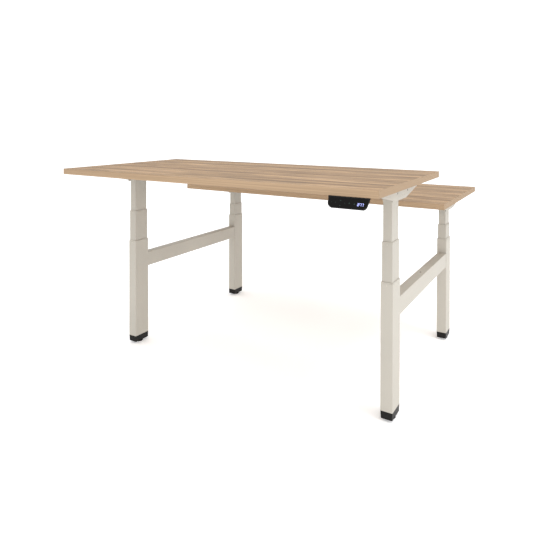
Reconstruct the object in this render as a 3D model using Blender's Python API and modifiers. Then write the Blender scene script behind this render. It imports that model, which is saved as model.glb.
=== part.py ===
"""Electric sit-stand bench for two people who face each other.

Two desktops stand back to back over a shared base. The base is a pair of H-shaped side frames: two
upright tubes joined by one low beam. Each upright holds a column of three nested tubes, and each
desktop rides on its own pair of columns, so its height is set on its own.

Units are metres. +Z is up, +X is to the right of the person at the front desk, who looks along +Y.
The origin is on the floor, in the middle of the bench.
"""

import math

import bmesh
import bpy
from mathutils import Matrix, Vector

# ---- Driving dimensions -------------------------------------------------------------------------

# Desktops
TOP_WIDTH = 1.400
TOP_DEPTH = 0.800
TOP_THICKNESS = 0.025
TOP_EDGE_RADIUS = 0.0012
DESK_GAP = 0.103

# How far each desktop stands above the lowest height of its columns
FRONT_LIFT = 0.257
BACK_LIFT = 0.105

# Columns: outside of the fixed tube, and what still shows of each stage at the lowest height
COLUMN_INSET = 0.0598
OUTER_TUBE_X = 0.0440
OUTER_TUBE_Y = 0.0916
TUBE_CORNER = 0.002
TUBE_WALL = 0.0015
OUTER_TUBE_TOP = 0.5043
MIDDLE_SHOWN_LOWEST = 0.0172
INNER_SHOWN_LOWEST = 0.0160
TUBE_END_CLEARANCE = 0.004

# Guide collars at the tops of the fixed and the middle tubes
COLLAR_RIM = 0.0030
COLLAR_CHAMFER = 0.0006
COLLAR_SKIRT = 0.030
COLLAR_SKIRT_WALL = 0.0007
COLLAR_RUNNING_GAP = 0.00035
COLLAR_OUTER_GAP = 0.0003
COLLAR_RELIEF = 0.0002

# Feet
CAP_HEIGHT = 0.0276
CAP_TAPER = 0.0012
CAP_PLUG = 0.010
GLIDE_DROP = 0.009
GLIDE_RADIUS = 0.020
GLIDE_THICKNESS = 0.0065
GLIDE_STEM_RADIUS = 0.005
GLIDE_STEM = 0.022
GLIDE_STEM_GAP = 0.0006

# Beam between the two uprights of a side frame
BEAM_BOTTOM = 0.3646
BEAM_HEIGHT = 0.0680
BEAM_INSET = 0.0018
BEAM_CORNER = 0.003

# Sheet-metal arm under each end of a desktop: its ends from the desktop's edges, its knees and
# holes from the column's axis
ARM_SHEET = 0.003
ARM_FRONT_INSET = 0.150
ARM_BACK_INSET = 0.050
ARM_KNEE_AHEAD = 0.050
ARM_KNEE_BEHIND = 0.120
ARM_DEPTH = 0.0575
ARM_TIP_DEPTH = 0.0135
ARM_KNEE_STEP = 0.006
ARM_FLANGE = 0.060
ARM_BOLT_RADIUS = 0.0040
ARM_BOLT_DEPTH = 0.0310
ARM_BOLT_START = 0.009
ARM_BOLT_SPACING = 0.132
ARM_SMALL_RADIUS = 0.0020
ARM_SMALL_DEPTH = 0.044
ARM_SMALL_START = 0.006
ARM_SMALL_PITCH = 0.029
ARM_SMALL_HOLES = 5

# Cross rails between the arms
RAIL_SIZE = 0.030
RAIL_WALL = 0.002
RAIL_CORNER = 0.003
RAIL_OFFSET = 0.110

# Drive: gear motor beside each column, spindle in the inner tube, hollow spindle in the middle tube
MOTOR_HEADROOM = 0.0017
MOTOR_CAN_RADIUS = 0.020
MOTOR_CAN_LENGTH = 0.090
GEARHEAD_RADIUS = 0.0225
GEARHEAD_LENGTH = 0.036
BEVEL_RADIUS = 0.010
BEVEL_TIP_RADIUS = 0.0045
SHAFT_RADIUS = 0.003
SHAFT_HOLE_RADIUS = 0.0112
HOLLOW_SPINDLE_GAP = 0.0058
HOLLOW_SPINDLE_WALL = 0.0025
SPINDLE_GAP = 0.0005
HOLLOW_SPINDLE_HEADROOM = 0.020
NUT_PLATE = 0.004

# Control box with its mains inlet
CONTROL_BOX = (0.240, 0.110, 0.036)
CONTROL_BOX_CORNER = 0.004
CONTROL_BOX_SETBACK = -0.020
INLET_FRAME = (0.030, 0.008, 0.024)
INLET_MOUTH = (0.022, 0.006, 0.015)
INLET_OFFSET = 0.080
INLET_CORNER = 0.002

# Handset under the front edge. Its case narrows behind the face, by this much for each unit of depth
HANDSET_SIDE_TAPER = 0.5
HANDSET_INSET = 0.0913
HANDSET_TILT = math.radians(33)
HANDSET_TOP_WIDTH = 0.1336
HANDSET_WAIST_WIDTH = 0.1280
HANDSET_FACE = 0.0410
HANDSET_CORNER = 0.020
HANDSET_LIP = 0.005
HANDSET_ARM_GAP = 0.008
HANDSET_BACK_HEIGHT = 0.014
PANEL_MARGIN = 0.0040
PANEL_THICKNESS = 0.0015
PANEL_PROUD = 0.0002

# Gap between pieces that are screwed, glued or pressed together
FIT_GAP = 0.0003

# ---- Sizes that follow --------------------------------------------------------------------------

DESK_OFFSET = (TOP_DEPTH + DESK_GAP) / 2
COLUMN_X = TOP_WIDTH / 2 - COLUMN_INSET - OUTER_TUBE_X / 2
STAGE_STEP = TUBE_WALL + COLLAR_OUTER_GAP + COLLAR_SKIRT_WALL + COLLAR_RUNNING_GAP
MIDDLE_TUBE_X = OUTER_TUBE_X - 2 * STAGE_STEP
MIDDLE_TUBE_Y = OUTER_TUBE_Y - 2 * STAGE_STEP
INNER_TUBE_X = MIDDLE_TUBE_X - 2 * STAGE_STEP
INNER_TUBE_Y = MIDDLE_TUBE_Y - 2 * STAGE_STEP
HOLLOW_SPINDLE_RADIUS = INNER_TUBE_X / 2 - TUBE_WALL - HOLLOW_SPINDLE_GAP
SPINDLE_RADIUS = HOLLOW_SPINDLE_RADIUS - HOLLOW_SPINDLE_WALL - SPINDLE_GAP
OUTER_TUBE_BOTTOM = GLIDE_DROP + CAP_HEIGHT + FIT_GAP
CAP_PLUG_TOP = OUTER_TUBE_BOTTOM + CAP_PLUG
MIDDLE_BOTTOM_LOWEST = CAP_PLUG_TOP + TUBE_END_CLEARANCE
MIDDLE_TOP_LOWEST = OUTER_TUBE_TOP + MIDDLE_SHOWN_LOWEST
LOWEST_TOP_HEIGHT = MIDDLE_TOP_LOWEST + INNER_SHOWN_LOWEST + ARM_DEPTH + TOP_THICKNESS
FRONT_TOP_HEIGHT = LOWEST_TOP_HEIGHT + FRONT_LIFT
BACK_TOP_HEIGHT = LOWEST_TOP_HEIGHT + BACK_LIFT
INNER_BOTTOM_LOWEST = MIDDLE_BOTTOM_LOWEST + NUT_PLATE + TUBE_END_CLEARANCE
COLLAR_SEAT = COLLAR_RIM + FIT_GAP
UNDERSIDE = -TOP_THICKNESS
FLANGE_TOP = UNDERSIDE - FIT_GAP
INNER_TUBE_TOP = FLANGE_TOP - ARM_SHEET - FIT_GAP
MOTOR_AXIS = FLANGE_TOP - ARM_SHEET - MOTOR_HEADROOM - GEARHEAD_RADIUS
WEB_OUTSIDE = TOP_WIDTH / 2 - COLUMN_INSET
HOLLOW_SPINDLE_TOP_LOWEST = LOWEST_TOP_HEIGHT + MOTOR_AXIS - BEVEL_RADIUS - HOLLOW_SPINDLE_HEADROOM
ARM_FRONT_END = ARM_FRONT_INSET - TOP_DEPTH / 2
ARM_BACK_END = TOP_DEPTH / 2 - ARM_BACK_INSET
HANDSET_CENTRE = TOP_WIDTH / 2 - HANDSET_INSET
HANDSET_LENGTH = min(ARM_FRONT_INSET, ARM_BACK_INSET) - HANDSET_ARM_GAP
FACE_DROP = HANDSET_FACE * math.cos(HANDSET_TILT)
FACE_REACH = HANDSET_FACE * math.sin(HANDSET_TILT)

DESKS = {"front": (-1, FRONT_TOP_HEIGHT), "back": (1, BACK_TOP_HEIGHT)}
SIDES = {"left": -1, "right": 1}

# An outline's X and Y laid along the bench's Y and Z, and along the handset's sloping face
UPRIGHT_PLANE = Matrix(((0, 0, 1, 0), (1, 0, 0, 0), (0, 1, 0, 0), (0, 0, 0, 1)))
FACE_PLANE = Matrix.Translation((0, 0, -FIT_GAP)) @ Matrix.Rotation(math.pi / 2 - HANDSET_TILT, 4, "X")

ARC_STEP = 0.002
FEWEST_ARC_STEPS = 4
ROUND_STEPS = 24
SHARP_ANGLE = 40
WELD = 1e-6

# ---- Collections and materials ------------------------------------------------------------------


def clear_scene():
    for obj in list(bpy.data.objects):
        bpy.data.objects.remove(obj, do_unlink=True)


def new_collection(name, hidden=False):
    collection = bpy.data.collections.new(name)
    collection.hide_render = hidden
    bpy.context.scene.collection.children.link(collection)
    return collection


def new_material(name, color, roughness, metallic=0.0):
    material = bpy.data.materials.new(name)
    material.use_nodes = True
    shader = material.node_tree.nodes["Principled BSDF"]
    shader.inputs["Base Color"].default_value = (*color, 1.0)
    shader.inputs["Roughness"].default_value = roughness
    shader.inputs["Metallic"].default_value = metallic
    material.diffuse_color = (*color, 1.0)
    return material


clear_scene()
PARTS = new_collection("sit_stand_bench")
CUTTERS = new_collection("cutters", hidden=True)

WOOD = new_material("oak_decor_board", (0.50, 0.36, 0.24), 0.45)
PAINT = new_material("warm_white_powder_coat", (0.62, 0.58, 0.52), 0.5, 0.1)
BLACK_PLASTIC = new_material("black_plastic", (0.012, 0.012, 0.013), 0.55)
GUIDE_PLASTIC = new_material("guide_plastic", (0.60, 0.57, 0.51), 0.55)
BARE_STEEL = new_material("bare_steel", (0.55, 0.55, 0.56), 0.35, 1.0)
MOTOR_PAINT = new_material("motor_paint", (0.05, 0.05, 0.055), 0.45, 0.3)
CASE_PLASTIC = new_material("case_plastic", (0.03, 0.03, 0.032), 0.5)
GLOSS_BLACK = new_material("gloss_black", (0.006, 0.006, 0.007), 0.12)

# ---- Building blocks ----------------------------------------------------------------------------


def add_empty(name, location, turned_round=False, parent=None):
    """An empty that carries the pieces of one body."""
    empty = bpy.data.objects.new(name, None)
    empty.location = location
    empty.rotation_euler.z = math.pi if turned_round else 0.0
    empty.parent = parent
    PARTS.objects.link(empty)
    return empty


def place(obj, material, parent, matrix=None):
    """Puts a finished piece in its parent's frame and gives it its material."""
    obj.data.materials.clear()
    obj.data.materials.append(material)
    obj.parent = parent
    obj.matrix_basis = matrix or Matrix.Identity(4)
    if obj.type == "MESH":
        obj.data.shade_smooth()
        obj.data.set_sharp_from_angle(angle=math.radians(SHARP_ANGLE))


def mesh_object(name, bm):
    mesh = bpy.data.meshes.new(name)
    bm.to_mesh(mesh)
    bm.free()
    obj = bpy.data.objects.new(name, mesh)
    PARTS.objects.link(obj)
    return obj


def box(name, corner, other_corner, radius=0.0, upright_only=False):
    """A box between two corners. Its edges, or only the upright ones, are rounded."""
    middle = (Vector(corner) + Vector(other_corner)) / 2
    size = Vector([abs(a - b) for a, b in zip(corner, other_corner)])
    bm = bmesh.new()
    bmesh.ops.create_cube(bm, size=1.0)
    bmesh.ops.scale(bm, vec=size, verts=bm.verts)
    if radius:
        edges = list(bm.edges)
        if upright_only:
            edges = [edge for edge in edges if abs(edge.verts[0].co.z - edge.verts[1].co.z) > 0]
        limit = 0.45 * min(size)
        bmesh.ops.bevel(
            bm, geom=edges, offset=min(radius, limit), segments=2, profile=0.5, affect="EDGES"
        )
    bmesh.ops.translate(bm, vec=middle, verts=bm.verts)
    return mesh_object(name, bm)


def cylinder(name, radius, start, end, steps=ROUND_STEPS):
    """A cylinder between two points."""
    axis = Vector(end) - Vector(start)
    middle = (Vector(end) + Vector(start)) / 2
    bm = bmesh.new()
    bmesh.ops.create_cone(
        bm, cap_ends=True, segments=steps, radius1=radius, radius2=radius, depth=axis.length
    )
    turn = axis.to_track_quat("Z", "Y").to_matrix().to_4x4()
    bmesh.ops.transform(bm, matrix=Matrix.Translation(middle) @ turn, verts=bm.verts)
    return mesh_object(name, bm)


def arc(centre, radius, start, end):
    """Points along an arc, with its angles in degrees. A large arc gets more of them."""
    steps = max(FEWEST_ARC_STEPS, round(radius / ARC_STEP))
    angles = [math.radians(start + (end - start) * i / steps) for i in range(steps + 1)]
    return [(centre[0] + radius * math.cos(a), centre[1] + radius * math.sin(a)) for a in angles]


def rounded_rectangle(width, depth, radius):
    radius = min(radius, 0.45 * min(width, depth))
    x, y = width / 2 - radius, depth / 2 - radius
    points = []
    for centre, start in (((x, y), 0), ((-x, y), 90), ((-x, -y), 180), ((x, -y), 270)):
        points += arc(centre, radius, start, start + 90)
    return points


def outline_curve(name, outlines, low, high, chamfer=0.0):
    """Flat closed outlines, the second a hole in the first, extruded along Z from low to high."""
    curve = bpy.data.curves.new(name, "CURVE")
    curve.dimensions = "2D"
    curve.fill_mode = "BOTH"
    curve.extrude = (high - low) / 2 - chamfer
    curve.bevel_depth = chamfer
    curve.bevel_resolution = 0
    curve.offset = -chamfer
    for points in outlines:
        spline = curve.splines.new("POLY")
        spline.points.add(len(points) - 1)
        for target, (x, y) in zip(spline.points, points):
            target.co = (x, y, 0.0, 1.0)
        spline.use_cyclic_u = True
    obj = bpy.data.objects.new(name, curve)
    obj.location.z = (low + high) / 2
    PARTS.objects.link(obj)
    return obj


def outline_solid(name, outlines, low, high, chamfer=0.0, frame=None):
    """The extruded outlines as one closed mesh. A frame says where the outline's plane lies."""
    curve_object = outline_curve(name, outlines, low, high, chamfer)
    bpy.context.view_layer.update()
    evaluated = curve_object.evaluated_get(bpy.context.evaluated_depsgraph_get())
    mesh = bpy.data.meshes.new_from_object(evaluated)
    mesh.transform((frame or Matrix.Identity(4)) @ curve_object.matrix_world)
    bpy.data.objects.remove(curve_object, do_unlink=True)
    bm = bmesh.new()
    bm.from_mesh(mesh)
    bpy.data.meshes.remove(mesh)
    bmesh.ops.remove_doubles(bm, verts=bm.verts, dist=WELD)
    bmesh.ops.recalc_face_normals(bm, faces=bm.faces)
    return mesh_object(name, bm)


def turned(name, profile):
    """A solid turned about Z. The profile (radius, height) runs from its top down to its bottom."""
    bm = bmesh.new()
    points = [bm.verts.new((radius, 0.0, height)) for radius, height in profile]
    for first, second in zip(points, points[1:]):
        bm.edges.new((first, second))
    obj = mesh_object(name, bm)
    screw = obj.modifiers.new("turn", "SCREW")
    screw.steps = ROUND_STEPS
    screw.render_steps = ROUND_STEPS
    screw.use_merge_vertices = True
    screw.merge_threshold = WELD
    return obj


def combine(obj, others, operation):
    """Boolean of one solid with others, which are kept as hidden cutters."""
    for other in others:
        PARTS.objects.unlink(other)
        CUTTERS.objects.link(other)
        other.hide_render = True
        other.display_type = "WIRE"
        other.parent = obj
        modifier = obj.modifiers.new(operation.lower(), "BOOLEAN")
        modifier.operation = operation
        modifier.object = other
        modifier.solver = "EXACT"


# ---- Uprights, collars, beams and feet ----------------------------------------------------------


def tube_outlines(width, depth, wall, corner):
    bore_corner = max(corner - wall, wall / 4)
    return (
        rounded_rectangle(width, depth, corner),
        rounded_rectangle(width - 2 * wall, depth - 2 * wall, bore_corner),
    )


def collar(name, width, depth, passing_width, passing_depth):
    """Rim on top of a tube, with a thin skirt that hangs inside it around the next tube.
    Its origin is in the middle of the rim's top."""
    opening_x = passing_width + 2 * COLLAR_RUNNING_GAP
    opening_y = passing_depth + 2 * COLLAR_RUNNING_GAP
    rim = outline_solid(
        name,
        (
            rounded_rectangle(width, depth, TUBE_CORNER),
            rounded_rectangle(opening_x, opening_y, TUBE_CORNER),
        ),
        -COLLAR_RIM,
        0.0,
        COLLAR_CHAMFER,
    )
    skirt = outline_solid(
        name + "_skirt",
        (
            rounded_rectangle(
                opening_x + 2 * COLLAR_SKIRT_WALL, opening_y + 2 * COLLAR_SKIRT_WALL, TUBE_CORNER
            ),
            rounded_rectangle(opening_x + COLLAR_RELIEF, opening_y + COLLAR_RELIEF, TUBE_CORNER),
        ),
        -COLLAR_RIM - COLLAR_SKIRT,
        -COLLAR_RIM / 2,
    )
    combine(rim, [skirt], "UNION")
    return rim


def foot_cap(name):
    """Tapered block under an upright, with a plug that fits inside it and a bore for the glide."""
    top = GLIDE_DROP + CAP_HEIGHT
    x, y = OUTER_TUBE_X / 2, OUTER_TUBE_Y / 2
    block = box(name, (-x, -y, GLIDE_DROP), (x, y, top), TUBE_CORNER, upright_only=True)
    for vertex in block.data.vertices:
        if vertex.co.z < top - CAP_HEIGHT / 2:
            vertex.co.x *= 1 - CAP_TAPER / x
            vertex.co.y *= 1 - CAP_TAPER / y
    plug_x = x - TUBE_WALL - FIT_GAP
    plug_y = y - TUBE_WALL - FIT_GAP
    plug = box(
        name + "_plug",
        (-plug_x, -plug_y, top - CAP_HEIGHT / 3),
        (plug_x, plug_y, CAP_PLUG_TOP),
        TUBE_CORNER,
        upright_only=True,
    )
    bore = cylinder(
        name + "_bore",
        GLIDE_STEM_RADIUS + GLIDE_STEM_GAP,
        (0, 0, 0),
        (0, 0, GLIDE_THICKNESS + GLIDE_STEM + FIT_GAP),
    )
    combine(block, [plug], "UNION")
    combine(block, [bore], "DIFFERENCE")
    return block


def levelling_glide(name):
    """Round foot pad on a threaded stem. Its origin is on the floor, on the stem's axis."""
    edge = GLIDE_THICKNESS / 4
    top = GLIDE_THICKNESS + GLIDE_STEM
    return turned(
        name,
        [
            (0.0, top),
            (GLIDE_STEM_RADIUS, top),
            (GLIDE_STEM_RADIUS, GLIDE_THICKNESS),
            (GLIDE_RADIUS - 3 * edge, GLIDE_THICKNESS),
            (GLIDE_RADIUS, GLIDE_THICKNESS - 2 * edge),
            (GLIDE_RADIUS, edge),
            (GLIDE_RADIUS - edge, 0.0),
            (0.0, 0.0),
        ],
    )


def make_side_frame(side_name, side, base):
    """Two uprights with their collars and feet, and the beam between them."""
    x = side * COLUMN_X
    for desk_name, (end, _) in DESKS.items():
        prefix = f"{desk_name}_{side_name}"
        foot = Matrix.Translation((x, end * DESK_OFFSET, 0))
        tube = outline_curve(
            prefix + "_outer_tube",
            tube_outlines(OUTER_TUBE_X, OUTER_TUBE_Y, TUBE_WALL, TUBE_CORNER),
            OUTER_TUBE_BOTTOM,
            OUTER_TUBE_TOP - COLLAR_SEAT,
        )
        place(tube, PAINT, base, foot @ tube.matrix_basis)
        ring = collar(
            prefix + "_outer_collar", OUTER_TUBE_X, OUTER_TUBE_Y, MIDDLE_TUBE_X, MIDDLE_TUBE_Y
        )
        place(ring, GUIDE_PLASTIC, base, foot @ Matrix.Translation((0, 0, OUTER_TUBE_TOP)))
        place(foot_cap(prefix + "_foot_cap"), BLACK_PLASTIC, base, foot)
        place(levelling_glide(prefix + "_glide"), BLACK_PLASTIC, base, foot)
    reach = DESK_OFFSET - OUTER_TUBE_Y / 2 - FIT_GAP
    beam = outline_curve(
        side_name + "_side_beam",
        tube_outlines(OUTER_TUBE_X - 2 * BEAM_INSET, BEAM_HEIGHT, TUBE_WALL, BEAM_CORNER),
        -reach,
        reach,
    )
    lie_down = Matrix.Rotation(math.pi / 2, 4, "X")
    place(beam, PAINT, base, Matrix.Translation((x, 0, BEAM_BOTTOM + BEAM_HEIGHT / 2)) @ lie_down)


# ---- Middle stage -------------------------------------------------------------------------------
# A stage's own frame has its origin on the column's axis, at the top of the middle tube's collar.


def hollow_spindle(name):
    """Tube that turns around the thin spindle, on a nut plate in the foot of the middle tube."""
    plate_x = MIDDLE_TUBE_X / 2 - TUBE_WALL - FIT_GAP
    plate_y = MIDDLE_TUBE_Y / 2 - TUBE_WALL - FIT_GAP
    bottom = MIDDLE_BOTTOM_LOWEST - MIDDLE_TOP_LOWEST
    top = HOLLOW_SPINDLE_TOP_LOWEST - MIDDLE_TOP_LOWEST
    bore_radius = SPINDLE_RADIUS + SPINDLE_GAP
    plate = box(
        name,
        (-plate_x, -plate_y, bottom),
        (plate_x, plate_y, bottom + NUT_PLATE),
        TUBE_CORNER,
        upright_only=True,
    )
    pipe = cylinder(
        name + "_pipe",
        HOLLOW_SPINDLE_RADIUS,
        (0, 0, bottom + NUT_PLATE / 2),
        (0, 0, top),
    )
    bore = cylinder(
        name + "_bore", bore_radius, (0, 0, bottom - NUT_PLATE), (0, 0, top + NUT_PLATE)
    )
    combine(plate, [pipe], "UNION")
    combine(plate, [bore], "DIFFERENCE")
    return plate


def make_stage(prefix, side, end, top_height):
    """The middle tube of one column, its collar and the hollow spindle that lifts it."""
    top = MIDDLE_TOP_LOWEST + (top_height - LOWEST_TOP_HEIGHT) / 2
    stage = add_empty(prefix + "_stage", (side * COLUMN_X, end * DESK_OFFSET, top))
    tube = outline_curve(
        prefix + "_middle_tube",
        tube_outlines(MIDDLE_TUBE_X, MIDDLE_TUBE_Y, TUBE_WALL, TUBE_CORNER),
        MIDDLE_BOTTOM_LOWEST - MIDDLE_TOP_LOWEST,
        -COLLAR_SEAT,
    )
    place(tube, PAINT, stage, tube.matrix_basis.copy())
    ring = collar(
        prefix + "_middle_collar", MIDDLE_TUBE_X, MIDDLE_TUBE_Y, INNER_TUBE_X, INNER_TUBE_Y
    )
    place(ring, GUIDE_PLASTIC, stage)
    place(hollow_spindle(prefix + "_hollow_spindle"), BARE_STEEL, stage)


# ---- Desk: top, arms, rails, inner tubes and drive ----------------------------------------------
# A desk's own frame has its origin in the middle of the top surface.


def side_arm(name, side):
    """Bent sheet: an outer web with tapered ends, a flange under the top, and two cheeks that
    hold the inner tube between them."""
    web_inside = side * (WEB_OUTSIDE - ARM_SHEET)
    web_middle = side * (WEB_OUTSIDE - ARM_SHEET / 2)
    bottom = UNDERSIDE - ARM_DEPTH
    outline = [
        (ARM_FRONT_END, FLANGE_TOP),
        (ARM_FRONT_END, FLANGE_TOP - ARM_TIP_DEPTH),
        (-ARM_KNEE_AHEAD, bottom + ARM_KNEE_STEP),
        (-ARM_KNEE_AHEAD, bottom),
        (ARM_KNEE_BEHIND, bottom),
        (ARM_BACK_END, FLANGE_TOP - ARM_TIP_DEPTH),
        (ARM_BACK_END, FLANGE_TOP),
    ]
    web = outline_solid(
        name,
        [outline],
        -ARM_SHEET / 2,
        ARM_SHEET / 2,
        frame=Matrix.Translation((web_middle, 0, 0)) @ UPRIGHT_PLANE,
    )
    solids = [
        box(
            name + "_flange",
            (side * (WEB_OUTSIDE - ARM_FLANGE), ARM_FRONT_END, FLANGE_TOP - ARM_SHEET),
            (web_middle, ARM_BACK_END, FLANGE_TOP),
        )
    ]
    for end in DESKS.values():
        near = end[0] * (INNER_TUBE_Y / 2 + FIT_GAP)
        solids.append(
            box(
                name + "_cheek",
                (side * (COLUMN_X - INNER_TUBE_X / 2), near, bottom),
                (web_middle, near + end[0] * ARM_SHEET, FLANGE_TOP - ARM_SHEET / 2),
            )
        )
    combine(web, solids, "UNION")
    holes = [
        (ARM_BOLT_START, ARM_BOLT_DEPTH, ARM_BOLT_RADIUS),
        (ARM_BOLT_START + ARM_BOLT_SPACING, ARM_BOLT_DEPTH, ARM_BOLT_RADIUS),
    ]
    for i in range(ARM_SMALL_HOLES):
        along = ARM_BOLT_START + ARM_SMALL_START + ARM_SMALL_PITCH * i
        holes.append((along, ARM_SMALL_DEPTH, ARM_SMALL_RADIUS))
    cutters = [
        cylinder(
            name + "_hole",
            radius,
            (web_inside - side * ARM_SHEET / 2, along, UNDERSIDE - depth),
            (web_inside + side * 2 * ARM_SHEET, along, UNDERSIDE - depth),
            steps=12,
        )
        for along, depth, radius in holes
    ]
    combine(web, cutters, "DIFFERENCE")
    return web


def inner_tube(name, side):
    """Top tube of a column, with a hole in its inboard wall for the gear motor's shaft."""
    tube = outline_solid(
        name,
        tube_outlines(INNER_TUBE_X, INNER_TUBE_Y, TUBE_WALL, TUBE_CORNER),
        INNER_BOTTOM_LOWEST - LOWEST_TOP_HEIGHT,
        INNER_TUBE_TOP,
    )
    hole = cylinder(
        name + "_shaft_hole",
        SHAFT_HOLE_RADIUS,
        (-side * INNER_TUBE_X, 0, MOTOR_AXIS),
        (-side * SPINDLE_RADIUS, 0, MOTOR_AXIS),
    )
    combine(tube, [hole], "DIFFERENCE")
    return tube


def gear_motor(name):
    """Motor, gearhead, shaft and bevel pinion on one axis, Z, with the bevel's apex at the origin."""
    gearhead_start = INNER_TUBE_X / 2 + TUBE_END_CLEARANCE / 2
    gearhead_end = gearhead_start + GEARHEAD_LENGTH
    end = gearhead_end + MOTOR_CAN_LENGTH
    chamfer = MOTOR_CAN_RADIUS / 8
    return turned(
        name,
        [
            (0.0, end),
            (MOTOR_CAN_RADIUS - chamfer, end),
            (MOTOR_CAN_RADIUS, end - chamfer),
            (MOTOR_CAN_RADIUS, gearhead_end),
            (GEARHEAD_RADIUS, gearhead_end),
            (GEARHEAD_RADIUS, gearhead_start),
            (SHAFT_RADIUS, gearhead_start),
            (SHAFT_RADIUS, BEVEL_RADIUS + FIT_GAP),
            (BEVEL_RADIUS, BEVEL_RADIUS + FIT_GAP),
            (BEVEL_TIP_RADIUS, BEVEL_TIP_RADIUS + FIT_GAP),
            (0.0, BEVEL_TIP_RADIUS + FIT_GAP),
        ],
    )


def spindle(name):
    """Lifting screw with the bevel gear on its top, in the desk's frame."""
    gear_base = MOTOR_AXIS - BEVEL_RADIUS - FIT_GAP
    gear_tip = MOTOR_AXIS - BEVEL_TIP_RADIUS - FIT_GAP
    bottom = CAP_PLUG_TOP + TUBE_END_CLEARANCE - LOWEST_TOP_HEIGHT
    return turned(
        name,
        [
            (0.0, gear_tip),
            (BEVEL_TIP_RADIUS, gear_tip),
            (BEVEL_RADIUS, gear_base),
            (SPINDLE_RADIUS, gear_base),
            (SPINDLE_RADIUS, bottom),
            (0.0, bottom),
        ],
    )


def control_box(name):
    x, y, z = CONTROL_BOX
    return box(
        name,
        (-x / 2, CONTROL_BOX_SETBACK - y / 2, FLANGE_TOP - z),
        (x / 2, CONTROL_BOX_SETBACK + y / 2, FLANGE_TOP),
        CONTROL_BOX_CORNER,
    )


def mains_inlet(name):
    """Socket on the back of the control box, open to the back."""
    x, y, z = INLET_FRAME
    mouth_x, mouth_y, mouth_z = INLET_MOUTH
    front = CONTROL_BOX_SETBACK + CONTROL_BOX[1] / 2 + FIT_GAP
    middle = FLANGE_TOP - CONTROL_BOX[2] / 2
    body = box(
        name,
        (INLET_OFFSET - x / 2, front, middle - z / 2),
        (INLET_OFFSET + x / 2, front + y, middle + z / 2),
        INLET_CORNER,
    )
    mouth = box(
        name + "_mouth",
        (INLET_OFFSET - mouth_x / 2, front + y - mouth_y, middle - mouth_z / 2),
        (INLET_OFFSET + mouth_x / 2, front + 2 * y, middle + mouth_z / 2),
    )
    combine(body, [mouth], "DIFFERENCE")
    return body


# ---- Handset ------------------------------------------------------------------------------------
# The handset's own frame has its origin on the desktop's lower front edge, and its face frame has
# X to the right, Y up along the face and Z out of it.


def face_outline(margin, above=0.0):
    """Outline of the face: straight sides that close in downwards, and round lower corners."""
    waist = HANDSET_WAIST_WIDTH / 2 - margin
    corner = max(HANDSET_CORNER - margin, 0.2 * HANDSET_CORNER)
    low = margin - HANDSET_FACE
    right = [(HANDSET_TOP_WIDTH / 2 - margin, above - margin)]
    if above:
        right.append((HANDSET_TOP_WIDTH / 2 - margin, -margin))
    right += reversed(arc((waist - corner, low + corner), corner, -90, 0))
    left = [(-x, y) for x, y in reversed(right)]
    return right + left


def handset_housing(name):
    """Wedge-shaped case with its face tilted up towards the person, and a recess for the panel."""
    side_view = [
        (0.0, -FIT_GAP),
        (-FACE_REACH, -FIT_GAP - FACE_DROP),
        (HANDSET_LIP - FACE_REACH, -FIT_GAP - FACE_DROP - HANDSET_LIP / 5),
        (HANDSET_LENGTH, -HANDSET_BACK_HEIGHT),
        (HANDSET_LENGTH, -FIT_GAP),
    ]
    wedge = outline_solid(
        name, [side_view], -HANDSET_TOP_WIDTH, HANDSET_TOP_WIDTH, frame=UPRIGHT_PLANE
    )
    reach = 2 * HANDSET_LENGTH
    stamp = outline_solid(name + "_outline", [face_outline(0.0, above=reach)], -reach, reach)
    for vertex in stamp.data.vertices:
        vertex.co.x *= 1 + HANDSET_SIDE_TAPER * vertex.co.z / (HANDSET_TOP_WIDTH / 2)
    stamp.data.transform(FACE_PLANE)
    recess = outline_solid(
        name + "_recess",
        [face_outline(PANEL_MARGIN - FIT_GAP)],
        PANEL_PROUD - PANEL_THICKNESS - FIT_GAP,
        PANEL_THICKNESS,
        frame=FACE_PLANE,
    )
    combine(wedge, [stamp], "INTERSECT")
    combine(wedge, [recess], "DIFFERENCE")
    return wedge


def handset_panel(name):
    return outline_solid(
        name,
        [face_outline(PANEL_MARGIN)],
        PANEL_PROUD - PANEL_THICKNESS,
        PANEL_PROUD,
        frame=FACE_PLANE,
    )


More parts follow.
